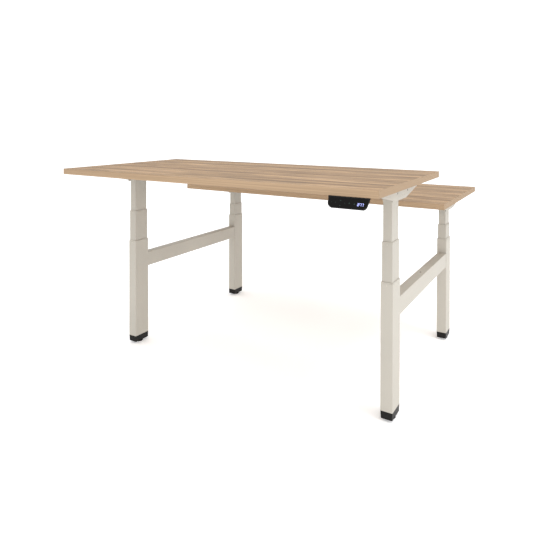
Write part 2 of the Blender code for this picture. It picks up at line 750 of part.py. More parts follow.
def make_desk(desk_name, end, top_height):
    """Everything that rises and sinks with one desktop."""
    desk = add_empty(desk_name + "_desk", (0, end * DESK_OFFSET, top_height))
    x, y = TOP_WIDTH / 2, TOP_DEPTH / 2
    board = box(desk_name + "_desktop", (-x, -y, UNDERSIDE), (x, y, 0), TOP_EDGE_RADIUS)
    place(board, WOOD, desk)

    lie_across = Matrix.Rotation(math.pi / 2, 4, "Y")
    rail_reach = WEB_OUTSIDE - ARM_SHEET - FIT_GAP
    rail_z = FLANGE_TOP - ARM_SHEET - FIT_GAP - RAIL_SIZE / 2
    for rail_name, rail_end in (("near", -1), ("far", 1)):
        rail = outline_curve(
            f"{desk_name}_{rail_name}_rail",
            tube_outlines(RAIL_SIZE, RAIL_SIZE, RAIL_WALL, RAIL_CORNER),
            -rail_reach,
            rail_reach,
        )
        middle = Matrix.Translation((0, rail_end * RAIL_OFFSET, rail_z))
        place(rail, PAINT, desk, middle @ lie_across)

    for side_name, side in SIDES.items():
        prefix = f"{desk_name}_{side_name}"
        column = Matrix.Translation((side * COLUMN_X, 0, 0))
        place(side_arm(prefix + "_arm", side), PAINT, desk)
        place(inner_tube(prefix + "_inner_tube", side), PAINT, desk, column)
        place(spindle(prefix + "_spindle"), BARE_STEEL, desk, column)
        inboard = Matrix.Translation((0, 0, MOTOR_AXIS)) @ Matrix.Rotation(
            -side * math.pi / 2, 4, "Y"
        )
        place(gear_motor(prefix + "_gear_motor"), MOTOR_PAINT, desk, column @ inboard)

    user = add_empty(desk_name + "_user_side", (0, 0, 0), turned_round=end > 0, parent=desk)
    place(control_box(desk_name + "_control_box"), CASE_PLASTIC, user)
    place(mains_inlet(desk_name + "_mains_inlet"), BLACK_PLASTIC, user)
    edge = Matrix.Translation((HANDSET_CENTRE, -TOP_DEPTH / 2, UNDERSIDE))
    place(handset_housing(desk_name + "_handset_housing"), CASE_PLASTIC, user, edge)
    place(handset_panel(desk_name + "_handset_panel"), GLOSS_BLACK, user, edge)


def main():
    base = add_empty("base", (0, 0, 0))
    for side_name, side in SIDES.items():
        make_side_frame(side_name, side, base)
    for desk_name, (end, top_height) in DESKS.items():
        make_desk(desk_name, end, top_height)
        for side_name, side in SIDES.items():
            make_stage(f"{desk_name}_{side_name}", side, end, top_height)


main()
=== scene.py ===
"""Looks of the back-to-back sit-stand bench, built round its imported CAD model.

Units are metres, in the frame of the CAD model: +Z is up, the front desk's user looks along +Y,
and the origin is on the floor in the middle of the bench.
"""

import math

import bmesh
import bpy
from mathutils import Matrix, Vector


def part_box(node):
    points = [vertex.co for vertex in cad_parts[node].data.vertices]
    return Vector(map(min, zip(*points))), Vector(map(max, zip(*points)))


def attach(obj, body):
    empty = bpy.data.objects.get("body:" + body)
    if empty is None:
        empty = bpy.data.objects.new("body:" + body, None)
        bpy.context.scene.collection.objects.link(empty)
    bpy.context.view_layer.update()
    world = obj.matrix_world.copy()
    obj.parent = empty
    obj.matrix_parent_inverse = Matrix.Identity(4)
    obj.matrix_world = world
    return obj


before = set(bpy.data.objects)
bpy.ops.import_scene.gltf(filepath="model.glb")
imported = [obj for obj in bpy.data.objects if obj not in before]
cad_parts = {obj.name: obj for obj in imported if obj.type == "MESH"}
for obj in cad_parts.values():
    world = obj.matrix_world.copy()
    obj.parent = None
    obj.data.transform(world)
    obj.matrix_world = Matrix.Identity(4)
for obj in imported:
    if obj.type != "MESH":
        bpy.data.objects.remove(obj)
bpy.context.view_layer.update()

ENDS = {"front": -1, "back": 1}
SIDES = {"left": -1, "right": 1}

# ---- Shader graphs ------------------------------------------------------------------------------


def linear(red, green, blue):
    """Linear colour from 0-255 display values."""
    channels = [value / 255 for value in (red, green, blue)]
    return [c / 12.92 if c <= 0.04045 else ((c + 0.055) / 1.055) ** 2.4 for c in channels] + [1.0]


def scaled(color, share):
    return [share * c for c in color[:3]] + [1.0]


class Shader:
    """A material, with short ways to add nodes to it. An input is a number, a tuple or a socket."""

    def __init__(self, name, **surface):
        self.material = bpy.data.materials.new(name)
        self.material.use_nodes = True
        self.tree = self.material.node_tree
        self.surface = self.tree.nodes["Principled BSDF"]
        self.set(**surface)

    def set(self, **surface):
        for socket, value in surface.items():
            self.feed(self.surface.inputs[socket.replace("_", " ")], value)

    def feed(self, socket, value):
        if isinstance(value, bpy.types.NodeSocket):
            self.tree.links.new(value, socket)
        else:
            socket.default_value = value

    def node(self, kind, inputs, output=0, **settings):
        made = self.tree.nodes.new("ShaderNode" + kind)
        for setting, value in settings.items():
            setattr(made, setting, value)
        for socket, value in inputs.items():
            self.feed(made.inputs[socket], value)
        return made.outputs[output]

    def math(self, operation, a, b=0.0, c=0.0):
        return self.node("Math", {0: a, 1: b, 2: c}, operation=operation)

    def position(self, scale=(1, 1, 1)):
        """Place on the piece in metres, stretched by scale. It stays with the piece as it moves."""
        place = self.node("TexCoord", {}, output=3)
        return self.node("Mapping", {0: place, 3: scale})

    def noise(self, place, scale=1.0, detail=2.0, roughness=0.5, distortion=0.0):
        inputs = {"Vector": place, "Scale": scale, "Detail": detail}
        inputs |= {"Roughness": roughness, "Distortion": distortion}
        return self.node("TexNoise", inputs)

    def spread(self, value, low, high, start=0.0, end=1.0):
        """value from low..high onto start..end, smoothly and without overshoot."""
        inputs = {0: value, 1: low, 2: high, 3: start, 4: end}
        return self.node("MapRange", inputs, interpolation_type="SMOOTHSTEP")

    def mix(self, share, first, second, blend="MIX"):
        """Colour mix. Share 0 gives first."""
        mixer = self.tree.nodes.new("ShaderNodeMix")
        mixer.data_type = "RGBA"
        mixer.blend_type = blend
        for index, value in ((0, share), (6, first), (7, second)):
            self.feed(mixer.inputs[index], value)
        return mixer.outputs[2]

    def bump(self, height, distance):
        inputs = {"Height": height, "Distance": distance, "Strength": 1.0}
        self.set(Normal=self.node("Bump", inputs))


# ---- Materials ----------------------------------------------------------------------------------

PAINT_COLOR = linear(186, 181, 171)
WOOD_COLOR = linear(160, 132, 102)
# The front band is lighter than the face as painted light on the front edge.
FRONT_BAND_LIT_COLOR = linear(175, 149, 121)
SIDE_BAND_COLOR = linear(157, 133, 107)
PATCH_COLOR = linear(138, 110, 83)
BAND_TURN = 39.3  # radians of the broad bands per metre, so one band in 160 mm
BAND_SHEET = 0.0010
JOINT_FROM_EDGE = 0.0011
JOINT_WIDTH = 0.0003


def powder_coat(name, color):
    """Satin powder coat: fine orange peel, and a faint unevenness in tone."""
    coat = Shader(name, Specular_IOR_Level=0.3)
    place = coat.position()
    cloud = coat.noise(place, 6.0, 2.0)
    peel = coat.noise(place, 700.0, 2.0)
    tone = coat.mix(coat.spread(cloud, 0.3, 0.7), scaled(color, 0.975), color)
    speck = coat.spread(peel, 0.30, 0.75, 0.965, 1.02)
    coat.set(Base_Color=coat.mix(1.0, tone, speck, "MULTIPLY"))
    coat.set(Roughness=coat.spread(cloud, 0.2, 0.8, 0.48, 0.58))
    coat.bump(peel, 0.00008)
    return coat.material


def moulded_plastic(name, color, roughness, depth=0.00006, specular=0.35):
    """Moulded plastic with an eroded grain of this depth in metres."""
    plastic = Shader(name, Specular_IOR_Level=specular)
    place = plastic.position()
    texture = plastic.noise(place, 900.0, 3.0, 0.6)
    cloud = plastic.noise(place, 14.0, 2.0)
    tone = plastic.mix(plastic.spread(texture, 0.35, 0.65), scaled(color, 0.8), color)
    uneven = plastic.spread(cloud, 0.3, 0.7, roughness - 0.05, roughness + 0.05)
    plastic.set(Base_Color=tone, Roughness=uneven)
    plastic.bump(texture, depth)
    return plastic.material


def brushed_steel(name, color, roughness):
    """Steel with the fine marks of its rolling or turning."""
    steel = Shader(name, Metallic=1.0)
    grain = steel.noise(steel.position((400, 400, 40)), 1.0, 4.0, 0.7)
    tone = steel.mix(steel.spread(grain, 0.3, 0.7), scaled(color, 0.86), color)
    steel.set(Base_Color=tone)
    steel.set(Roughness=steel.spread(grain, 0.3, 0.7, roughness - 0.06, roughness + 0.08))
    steel.bump(grain, 0.00002)
    return steel.material


def touch_panel(name, color):
    """Smooth dark acrylic with a faint haze of finger marks."""
    panel = Shader(name, Specular_IOR_Level=0.12)
    haze = panel.noise(panel.position(), 60.0, 3.0, 0.6)
    tone = panel.mix(panel.spread(haze, 0.35, 0.7), scaled(color, 0.85), color)
    panel.set(Base_Color=tone, Roughness=panel.spread(haze, 0.3, 0.7, 0.16, 0.30))
    return panel.material


def lit_symbol(name, color, power):
    """Printed symbol with light behind it, a little uneven as light through ink is."""
    lit = Shader(name, Roughness=0.4, Emission_Strength=power)
    patch = lit.noise(lit.position(), 900.0, 2.0)
    tone = lit.mix(lit.spread(patch, 0.3, 0.7), scaled(color, 0.8), color)
    lit.set(Base_Color=tone, Emission_Color=tone)
    return lit.material


def wood_board(name, low, high):
    """Oak decor board: grain along X, with glued edge bands, the front one painted lighter as painted
    light on the front edge, and a fine dark line at their joint, partly painted shade in the seam.
    """
    wood = Shader(name, Specular_IOR_Level=0.12)
    place = wood.position()
    axes = wood.tree.nodes.new("ShaderNodeSeparateXYZ")
    wood.feed(axes.inputs[0], place)
    x, y = axes.outputs[0], axes.outputs[1]
    middle = (low + high) / 2
    reach = (high - low) / 2

    def from_edge(value, mid, half):
        off_middle = wood.math("ABSOLUTE", wood.math("SUBTRACT", value, mid))
        return wood.math("SUBTRACT", half, off_middle)

    from_side = from_edge(x, middle.x, reach.x)
    from_front = from_edge(y, middle.y, reach.y)

    def grain(scale, detail, roughness=0.5, distortion=0.0):
        stretched = wood.node("Mapping", {0: place, 3: scale})
        return wood.noise(stretched, 1.0, detail, roughness, distortion)

    def layer(color, value, start, end, dark, light):
        return wood.mix(1.0, color, wood.spread(value, start, end, dark, light), "MULTIPLY")

    # Broad bands, which wander a little, then patches, streaks, fibres and pores
    wander = grain((1.1, 5.0, 5.0), 2.0)
    phase = wood.math("MULTIPLY_ADD", y, BAND_TURN, wood.math("MULTIPLY_ADD", wander, 2.6, 0.6))
    bands = wood.math("SINE", phase)
    patches = grain((2.4, 24.0, 40.0), 3.0, 0.55, 0.4)
    streaks = grain((1.6, 58.0, 120.0), 5.0, 0.68, 0.15)
    fibres = grain((7.0, 240.0, 480.0), 3.0, 0.65)
    pores = grain((34.0, 1300.0, 1300.0), 2.0)
    knots = grain((11.0, 60.0, 60.0), 1.0)
    face = layer(WOOD_COLOR, bands, -1.0, 1.0, 0.86, 1.13)
    face = wood.mix(wood.spread(patches, 0.53, 0.66, 0.0, 0.75), face, PATCH_COLOR)
    face = layer(face, streaks, 0.38, 0.60, 0.60, 1.32)
    face = layer(face, fibres, 0.38, 0.62, 0.72, 1.22)
    face = layer(face, pores, 0.28, 0.42, 0.86, 1.0)
    face = layer(face, knots, 0.70, 0.78, 1.0, 0.72)

    # Edge bands: fine stripes along each edge. The front band is lighter than the face: painted light
    # on the front edge.
    long_stripes = grain((1.2, 60.0, 330.0), 2.0, 0.6)
    short_stripes = grain((60.0, 3.0, 420.0), 2.0, 0.6)
    lit_front_edge = layer(FRONT_BAND_LIT_COLOR, long_stripes, 0.33, 0.67, 0.84, 1.10)
    side_edge = layer(SIDE_BAND_COLOR, short_stripes, 0.30, 0.70, 0.97, 1.03)
    in_front_band = wood.math("LESS_THAN", from_front, BAND_SHEET)
    in_side_band = wood.math("LESS_THAN", from_side, BAND_SHEET)
    tone = wood.mix(in_front_band, face, lit_front_edge)
    tone = wood.mix(in_side_band, tone, side_edge)
    # A fine dark line where band meets face: partly the joint itself, partly painted shade in the seam.
    nearest = wood.math("MINIMUM", from_front, from_side)
    off_joint = wood.math("ABSOLUTE", wood.math("SUBTRACT", nearest, JOINT_FROM_EDGE))
    tone = layer(tone, off_joint, 0.0, JOINT_WIDTH, 0.72, 1.0)
    wood.set(Base_Color=tone, Roughness=wood.spread(fibres, 0.3, 0.7, 0.50, 0.62))
    wood.bump(wood.math("MULTIPLY_ADD", pores, 0.5, fibres), 0.00010)
    return wood.material


coat = powder_coat("satin_powder_coat", PAINT_COLOR)
# The middle and inner tubes get the coat 5.5 % darker: painted shade of the desktop over the upper
# tubes.
shaded_stage_coat = powder_coat("lifting_tube_shaded_coat", scaled(PAINT_COLOR, 0.945))
# The guide collars and clips are 22 % lighter than the coat: partly their own pale plastic, partly a
# painted highlight on the collar chamfers and clip heads.
guide = moulded_plastic("guide_plastic", scaled(PAINT_COLOR, 1.22), 0.5, depth=0.00003)
black = moulded_plastic("black_plastic", linear(19, 17, 16), 0.5, specular=0.22)
case = moulded_plastic("case_plastic", linear(24, 23, 23), 0.5, specular=0.2)
motor_paint = powder_coat("motor_paint", linear(52, 53, 56))
steel = brushed_steel("bare_steel", linear(196, 196, 198), 0.34)
# Dark steel of the cheek and beam screws and motor rings. On the beam's top screw its dark is painted
# shade of a hole.
dark_steel = brushed_steel("blackened_steel_and_hole_shade", linear(44, 42, 41), 0.45)
panel_face = touch_panel("gloss_black", linear(14, 13, 12))
# Light grey of the handset bead: painted highlight of its bevel.
panel_rim_highlight = moulded_plastic("panel_rim_highlight", linear(62, 58, 55), 0.4, depth=0.00002)
symbol_light = lit_symbol("symbol_light", linear(52, 84, 74), 0.12)
figure_light = lit_symbol("figure_light", linear(176, 184, 255), 1.3)

FINISHES = {
    "tube": coat,
    "beam": coat,
    "arm": coat,
    "rail": coat,
    "collar": guide,
    "cap": black,
    "glide": black,
    "motor": motor_paint,
    "spindle": steel,
    "box": case,
    "inlet": black,
    "housing": case,
    "panel": panel_face,
}
for desk in ENDS:
    FINISHES[desk + "_desktop"] = wood_board(desk + "_oak_decor", *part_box(desk + "_desktop"))
    for side_name in SIDES:
        for stage in ("middle", "inner"):
            FINISHES[f"{desk}_{side_name}_{stage}_tube"] = shaded_stage_coat

# ---- CAD pieces ---------------------------------------------------------------------------------

SHARP_ANGLE = math.radians(40)


def smooth(piece):
    """Rounded faces shade as rounded. The mesh itself stays as it is."""
    for polygon in piece.data.polygons:
        polygon.use_smooth = True
    weld = piece.modifiers.new("weld", "WELD")
    weld.merge_threshold = 1e-5
    split = piece.modifiers.new("sharp_edges", "EDGE_SPLIT")
    split.split_angle = SHARP_ANGLE
    weighted = piece.modifiers.new("flat_faces", "WEIGHTED_NORMAL")
    weighted.keep_sharp = True


for name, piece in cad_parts.items():
    piece.data.materials.clear()
    piece.data.materials.append(FINISHES.get(name) or FINISHES[name.rsplit("_", 1)[-1]])
    smooth(piece)

# ---- Mesh building for the small pieces ---------------------------------------------------------

ROUND = 24
CORNER_STEPS = 6
SLOTS = {
    "coat": ("white_powder_coat", coat),
    "guide": ("guide_collar", guide),
    "black": ("black_plastic", black),
    "case": ("case_plastic", case),
    "steel": ("bare_steel", steel),
    "dark_steel": ("bare_steel", dark_steel),
    "rim": ("gloss_black", panel_rim_highlight),
    "symbols": ("gloss_black", symbol_light),
    "figures": ("gloss_black", figure_light),
}


def circle(radius, z):
    turns = [math.tau * i / ROUND for i in range(ROUND)]
    return [(radius * math.cos(a), radius * math.sin(a), z) for a in turns]


def hexagon(radius, z):
    """A hexagon of this corner radius, with as many points as a circle."""
    points = []
    for i in range(ROUND):
        turn = math.tau * i / ROUND
        reach = radius * math.cos(math.pi / 6) / math.cos(turn % (math.pi / 3) - math.pi / 6)
        points.append((reach * math.cos(turn), reach * math.sin(turn), z))
    return points


def cross(radius, z):
    """A cross-shaped recess, with as many points as a circle."""
    quarter = ROUND // 4
    points = []
    for i in range(ROUND):
        turn = math.tau * i / ROUND
        reach = radius if i % quarter in (0, 1, quarter - 1) else 0.42 * radius
        points.append((reach * math.cos(turn), reach * math.sin(turn), z))
    return points


def rectangle(width, depth, corner, z):
    """A rectangle with rounded corners."""
    x, y = width / 2 - corner, depth / 2 - corner
    points = []
    for (cx, cy), start in (((x, y), 0), ((-x, y), 90), ((-x, -y), 180), ((x, -y), 270)):
        for i in range(CORNER_STEPS):
            turn = math.radians(start + 90 * i / (CORNER_STEPS - 1))
            points.append((cx + corner * math.cos(turn), cy + corner * math.sin(turn), z))
    return points


def loft(bm, rings, matrix):
    """A closed solid through rings of equally many points."""
    rows = [[bm.verts.new(matrix @ Vector(point)) for point in ring] for ring in rings]
    for lower, upper in zip(rows, rows[1:]):
        for i in range(len(lower)):
            j = (i + 1) % len(lower)
            bm.faces.new((lower[i], lower[j], upper[j], upper[i]))
    bm.faces.new(reversed(rows[0]))
    bm.faces.new(rows[-1])


def prism(bm, outline, low, high, matrix):
    """A flat outline made solid from low to high."""
    loft(bm, [[(x, y, low) for x, y in outline], [(x, y, high) for x, y in outline]], matrix)


def add_piece(name, body, look, bm):
    """Turns the mesh into a piece that moves with its body."""
    bmesh.ops.recalc_face_normals(bm, faces=bm.faces)
    mesh = bpy.data.meshes.new(name)
    bm.to_mesh(mesh)
    bm.free()
    piece = bpy.data.objects.new(name, mesh)
    bpy.context.scene.collection.objects.link(piece)
    slot_name, material = SLOTS[look]
    mesh.materials.append(material)
    smooth(piece)
    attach(piece, body)


def facing(direction, at):
    """Frame at a point with its Z along direction."""
    turn = Vector(direction).to_track_quat("Z", "Y").to_matrix().to_4x4()
    return Matrix.Translation(at) @ turn


def socket_screw(bm, radius, height, matrix, recess=hexagon, recess_share=0.52, sunk=0.7):
    """Round screw head with rolled edge and a driver recess. Its seat is at z = 0."""
    inner = recess_share * radius
    rings = [
        circle(radius, 0),
        circle(radius, 0.55 * height),
        circle(0.93 * radius, 0.86 * height),
        circle(0.80 * radius, height),
        recess(inner * 1.08, height),
        recess(inner, 0.94 * height),
        recess(inner * 0.96, (1 - sunk) * height),
    ]
    loft(bm, rings, matrix)


def hex_nut(bm, radius, height, matrix):
    """Nut with bevelled edges and the mouth of its thread. Its seat is at z = 0."""
    edge = 0.12 * radius
    rings = [
        hexagon(radius - edge, 0),
        hexagon(radius, edge),
        hexagon(radius, height - edge),
        hexagon(radius - edge, height),
        circle(0.55 * radius, height),
        circle(0.50 * radius, height - 2 * edge),
    ]
    loft(bm, rings, matrix)


# ---- Places read from the CAD -------------------------------------------------------------------

PART_GAP = 0.0003  # what the CAD leaves between pieces that touch
FLANGE_SHEET = 0.003

COLLAR_RISE = 0.0033  # top of a collar above the end of its tube
CLIP_DROP = 0.0105
SIDE_CLIP_DROP = 0.002  # and this much further down on the side of the outer tube
SIDE_CLIP_SPREAD = 0.020

BOLT_DEPTH = 0.0310  # under the top's lower face
BOLT_ALONG = (0.009, 0.141)  # behind the middle of the column
CHEEK_SCREW_INSET = 0.0052
CHEEK_SCREW_DEPTH = 0.0507
FLANGE_SCREW_INSET = 0.034
FLANGE_SCREW_ALONG = (-0.215, -0.068, 0.068, 0.200, 0.315)
BEAM_TOP_SCREW_ALONG = -0.012
BEAM_END_SCREW_INSET = 0.030
LOCK_NUT_THICKNESS = 0.0020

STRAP_INSET = 0.0285  # from the middle of the column
STRAP_HALF_WIDTH = 0.006
STRAP_SHEET = 0.0015
STRAP_FOOT = 0.013
STRAP_SCREW_OUT = 0.0075
LEAD_SLEEVE_OFF_AXIS = 0.0115
CAN_STEP = 0.0025
CAN_RING_ALONG = (0.006, 0.082)

COVER_INSET = 0.012
COVER_SCREW_INSET = 0.014
COVER_FACE = 0.0013
RIB_COUNT = 9
RIB_SPACING = 0.012
SOCKET_ALONG = (-0.070, -0.040, -0.010, 0.045)
PIN_PLACES = ((-0.0055, -0.0015), (0.0, 0.0020), (0.0055, -0.0015))
PIN_DEPTH = 0.0058

HANDSET_TILT = math.radians(33)


def centre(node):
    low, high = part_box(node)
    return (low + high) / 2


def top_of(desk):
    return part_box(desk + "_desktop")[1].z


def underside(desk):
    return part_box(desk + "_desktop")[0].z


def flange_underside(desk):
    return underside(desk) - PART_GAP - FLANGE_SHEET


def user_frame(desk):
    """Origin in the middle of the top's surface, with +Y away from the desk's user."""
    turn = Matrix.Rotation(math.pi if desk == "back" else 0.0, 4, "Z")
    return Matrix.Translation((0, centre(desk + "_desktop").y, top_of(desk))) @ turn


# ---- Screws and clips of the frame --------------------------------------------------------------


def make_clips(desk, side_name, side):
    """Press-in heads that hold each guide collar in its tube."""
    prefix = f"{desk}_{side_name}"
    for stage, body in (("outer", "base"), ("middle", prefix + "_stage")):
        low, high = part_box(f"{prefix}_{stage}_tube")
        middle = (low + high) / 2
        z = high.z + COLLAR_RISE - CLIP_DROP
        spots = [((0, ENDS[desk], 0), (middle.x, low.y if desk == "front" else high.y, z))]
        if stage == "outer":
            x = high.x if side > 0 else low.x
            for along in (-SIDE_CLIP_SPREAD, SIDE_CLIP_SPREAD):
                spots.append(((side, 0, 0), (x, middle.y + along, z - SIDE_CLIP_DROP)))
        bm = bmesh.new()
        for direction, at in spots:
            rings = [
                circle(0.0028, 0.0),
                circle(0.0028, 0.0004),
                circle(0.0022, 0.0010),
                circle(0.0013, 0.0010),
                circle(0.0010, 0.0004),
            ]
            loft(bm, rings, facing(direction, at))
        add_piece(f"{prefix}_{stage}_guide_clips", body, "guide", bm)


def make_arm_screws(desk, side_name, side):
    """Bolts and nuts of the web, screws of the cheeks, and wood screws through the flange."""
    prefix = f"{desk}_{side_name}"
    body = desk + "_desk"
    low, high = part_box(prefix + "_arm")
    outside = high.x if side > 0 else low.x
    column = centre(prefix + "_inner_tube")
    z = underside(desk) - BOLT_DEPTH
    bolts = bmesh.new()
    nuts = bmesh.new()
    for along in BOLT_ALONG:
        seat = (outside - side * FLANGE_SHEET, column.y + along, z)
        socket_screw(bolts, 0.0037, FLANGE_SHEET - 0.0002, facing((side, 0, 0), seat))
        inside = (outside - side * (FLANGE_SHEET + PART_GAP), column.y + along, z)
        hex_nut(nuts, 0.0070, 0.0045, facing((-side, 0, 0), inside))
    # The black of the bolt heads is painted shade: it stands for the dark holes of the web there.
    add_piece(prefix + "_arm_bolts", body, "black", bolts)
    add_piece(prefix + "_arm_nuts", body, "steel", nuts)

    tube_low, tube_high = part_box(prefix + "_inner_tube")
    cheeks = bmesh.new()
    x = outside - side * CHEEK_SCREW_INSET
    for end, face in ((-1, tube_low.y - PART_GAP), (1, tube_high.y + PART_GAP)):
        at = (x, face + end * FLANGE_SHEET, underside(desk) - CHEEK_SCREW_DEPTH)
        socket_screw(cheeks, 0.0023, 0.0009, facing((0, end, 0), at), cross, 0.6, 0.5)
    add_piece(prefix + "_cheek_screws", body, "dark_steel", cheeks)

    flange = bmesh.new()
    for along in FLANGE_SCREW_ALONG:
        at = (outside - side * FLANGE_SCREW_INSET, column.y + along, flange_underside(desk))
        socket_screw(flange, 0.0045, 0.0026, facing((0, 0, -1), at), cross, 0.55, 0.6)
    add_piece(prefix + "_flange_screws", body, "steel", flange)


def make_beam_screws(side_name):
    """One screw on top of the beam, and one under each of its ends."""
    low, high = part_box(side_name + "_side_beam")
    x = (low.x + high.x) / 2
    bm = bmesh.new()
    # The top screw's dark steel is painted shade, for a dark hole in the beam's top.
    upper = facing((0, 0, 1), (x, BEAM_TOP_SCREW_ALONG, high.z))
    socket_screw(bm, 0.0034, 0.0008, upper, hexagon, 0.6, 0.6)
    for along in (low.y + BEAM_END_SCREW_INSET, high.y - BEAM_END_SCREW_INSET):
        lower = facing((0, 0, -1), (x, along, low.z))
        socket_screw(bm, 0.0030, 0.0010, lower, hexagon, 0.6, 0.6)
    add_piece(side_name + "_beam_screws", "base", "dark_steel", bm)


def make_foot_details(desk, side_name):
    """Lock nut between the foot pad and the cap."""
    prefix = f"{desk}_{side_name}"
    cap_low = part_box(prefix + "_foot_cap")[0]
    middle = centre(prefix + "_glide")
    seat = (middle.x, middle.y, cap_low.z - LOCK_NUT_THICKNESS - 0.0002)
    bm = bmesh.new()
    hex_nut(bm, 0.0085, LOCK_NUT_THICKNESS, facing((0, 0, 1), seat))
    add_piece(prefix + "_lock_nut", prefix + "_glide", "steel", bm)


# ---- Drives -------------------------------------------------------------------------------------


def make_motor_details(desk, side_name, side):
    """Strap with its screws, end bell and rings of a gear motor, which lies along X."""
    prefix = f"{desk}_{side_name}"
    body = desk + "_desk"
    low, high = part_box(prefix + "_gear_motor")
    axis_y = (low.y + high.y) / 2
    axis_z = (low.z + high.z) / 2
    radius = (high.z - low.z) / 2
    can_end = low.x if side > 0 else high.x
    strap_x = centre(prefix + "_inner_tube").x - side * STRAP_INSET
    flange_low = flange_underside(desk)

    # Strap that hangs the gearhead from the arm's flange
    strap = bmesh.new()
    inner, outer = radius + PART_GAP, radius + PART_GAP + STRAP_SHEET
    foot = inner + STRAP_FOOT
    foot_top = flange_low - axis_z
    foot_low = foot_top - STRAP_SHEET
    turns = [math.radians(-a) for a in range(0, 181, 15)]
    outline = [(foot, foot_top), (foot, foot_low), (outer, foot_low)]
    outline += [(outer * math.cos(a), outer * math.sin(a)) for a in turns]
    outline += [(-outer, foot_low), (-foot, foot_low), (-foot, foot_top), (-inner, foot_top)]
    outline += [(inner * math.cos(a), inner * math.sin(a)) for a in reversed(turns)]
    outline += [(inner, foot_top)]
    across = Matrix(((0, 0, 1, strap_x), (1, 0, 0, axis_y), (0, 1, 0, axis_z), (0, 0, 0, 1)))
    prism(strap, outline, -STRAP_HALF_WIDTH, STRAP_HALF_WIDTH, across)
    add_piece(prefix + "_motor_strap", body, "coat", strap)

    screws = bmesh.new()
    for end in (-1, 1):
        at = (strap_x, axis_y + end * (inner + STRAP_SCREW_OUT), flange_low - STRAP_SHEET)
        socket_screw(screws, 0.0036, 0.0022, facing((0, 0, -1), at), cross, 0.55, 0.6)
    add_piece(prefix + "_strap_screws", body, "steel", screws)

    # End bell of the motor, with its bearing boss and the sleeve where its leads come out
    bell = bmesh.new()
    outward = facing((-side, 0, 0), (can_end, axis_y, axis_z))
    rings = [
        circle(0.0165, -0.0002),
        circle(0.0165, 0.0016),
        circle(0.0155, 0.0024),
        circle(0.0075, 0.0024),
        circle(0.0070, 0.0052),
        circle(0.0060, 0.0060),
        circle(0.0030, 0.0060),
        circle(0.0028, 0.0048),
    ]
    loft(bell, rings, outward)
    sleeve = facing((-side, 0, 0), (can_end, axis_y + LEAD_SLEEVE_OFF_AXIS, axis_z))
    rings = [
        circle(0.0030, 0.0020),
        circle(0.0030, 0.0070),
        circle(0.0024, 0.0082),
        circle(0.0014, 0.0082),
        circle(0.0013, 0.0050),
    ]
    loft(bell, rings, sleeve)
    add_piece(prefix + "_motor_bell", body, "black", bell)

    # Rolled rings round the can
    can = radius - CAN_STEP
    raised = can + 0.0006
    bands = bmesh.new()
    for along in CAN_RING_ALONG:
        at = (can_end + side * along, axis_y, axis_z)
        rings = [circle(can, 0), circle(raised, 0.0004), circle(raised, 0.0022), circle(can, 0.0026)]
        loft(bands, rings, facing((side, 0, 0), at))
    add_piece(prefix + "_motor_rings", body, "dark_steel", bands)


# ---- Control box and inlet ----------------------------------------------------------------------


def make_control_box_details(desk):
    """Ribbed cover, its screws, the sockets towards the user, and the pins of the mains inlet."""
    body = desk + "_desk"
    low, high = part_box(desk + "_control_box")
    middle = (low + high) / 2
    size = high - low
    user = user_frame(desk)
    towards_user = (user.to_3x3() @ Vector((0, -1, 0))).y

    cover = bmesh.new()
    below = Matrix.Translation((middle.x, middle.y, low.z))
    cover_x, cover_y = size.x - COVER_INSET, size.y - COVER_INSET
    rings = [
        rectangle(cover_x, cover_y, 0.005, 0.0002),
        rectangle(cover_x, cover_y, 0.005, -0.0008),
        rectangle(cover_x - 0.002, cover_y - 0.002, 0.004, -0.0014),
    ]
    loft(cover, rings, below)
    for i in range(RIB_COUNT):
        x = middle.x + RIB_SPACING * (i - (RIB_COUNT - 1) / 2)
        rib = Matrix.Translation((x, middle.y, low.z - COVER_FACE))
        loft(cover, [rectangle(0.005, 0.050, 0.0024, 0), rectangle(0.004, 0.049, 0.0019, -0.0009)], rib)
    add_piece(desk + "_control_box_cover", body, "case", cover)

    screws = bmesh.new()
    for x in (-1, 1):
        for y in (-1, 1):
            along = middle.x + x * (size.x / 2 - COVER_SCREW_INSET)
            across = middle.y + y * (size.y / 2 - COVER_SCREW_INSET)
            at = (along, across, low.z - COVER_FACE)
            socket_screw(screws, 0.0030, 0.0014, facing((0, 0, -1), at), cross, 0.6, 0.6)
    add_piece(desk + "_control_box_screws", body, "steel", screws)

    sockets = bmesh.new()
    face_y = middle.y + towards_user * size.y / 2
    for along in SOCKET_ALONG:
        wide = 0.018 if along < 0.03 else 0.012
        rings = [
            rectangle(wide + 0.004, 0.0140, 0.0015, -0.0001),
            rectangle(wide + 0.004, 0.0140, 0.0015, 0.0014),
            rectangle(wide + 0.003, 0.0130, 0.0012, 0.0018),
            rectangle(wide, 0.0100, 0.0008, 0.0018),
            rectangle(wide, 0.0100, 0.0008, 0.0003),
        ]
        loft(sockets, rings, facing((0, towards_user, 0), (middle.x + along, face_y, middle.z)))
    add_piece(desk + "_control_box_sockets", body, "black", sockets)

    inlet_low, inlet_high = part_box(desk + "_mains_inlet")
    inlet = (inlet_low + inlet_high) / 2
    outer = inlet.y - towards_user * (inlet_high.y - inlet_low.y) / 2
    pins = bmesh.new()
    for x, z in PIN_PLACES:
        at = (inlet.x + x, outer + towards_user * PIN_DEPTH, inlet.z + z)
        rings = [rectangle(0.0018, 0.0040, 0.0004, 0), rectangle(0.0018, 0.0040, 0.0004, 0.0042)]
        rings.append(rectangle(0.0010, 0.0030, 0.0002, 0.0048))
        loft(pins, rings, facing((0, -towards_user, 0), at))
    add_piece(desk + "_inlet_pins", body, "steel", pins)


# ---- Handset ------------------------------------------------------------------------------------

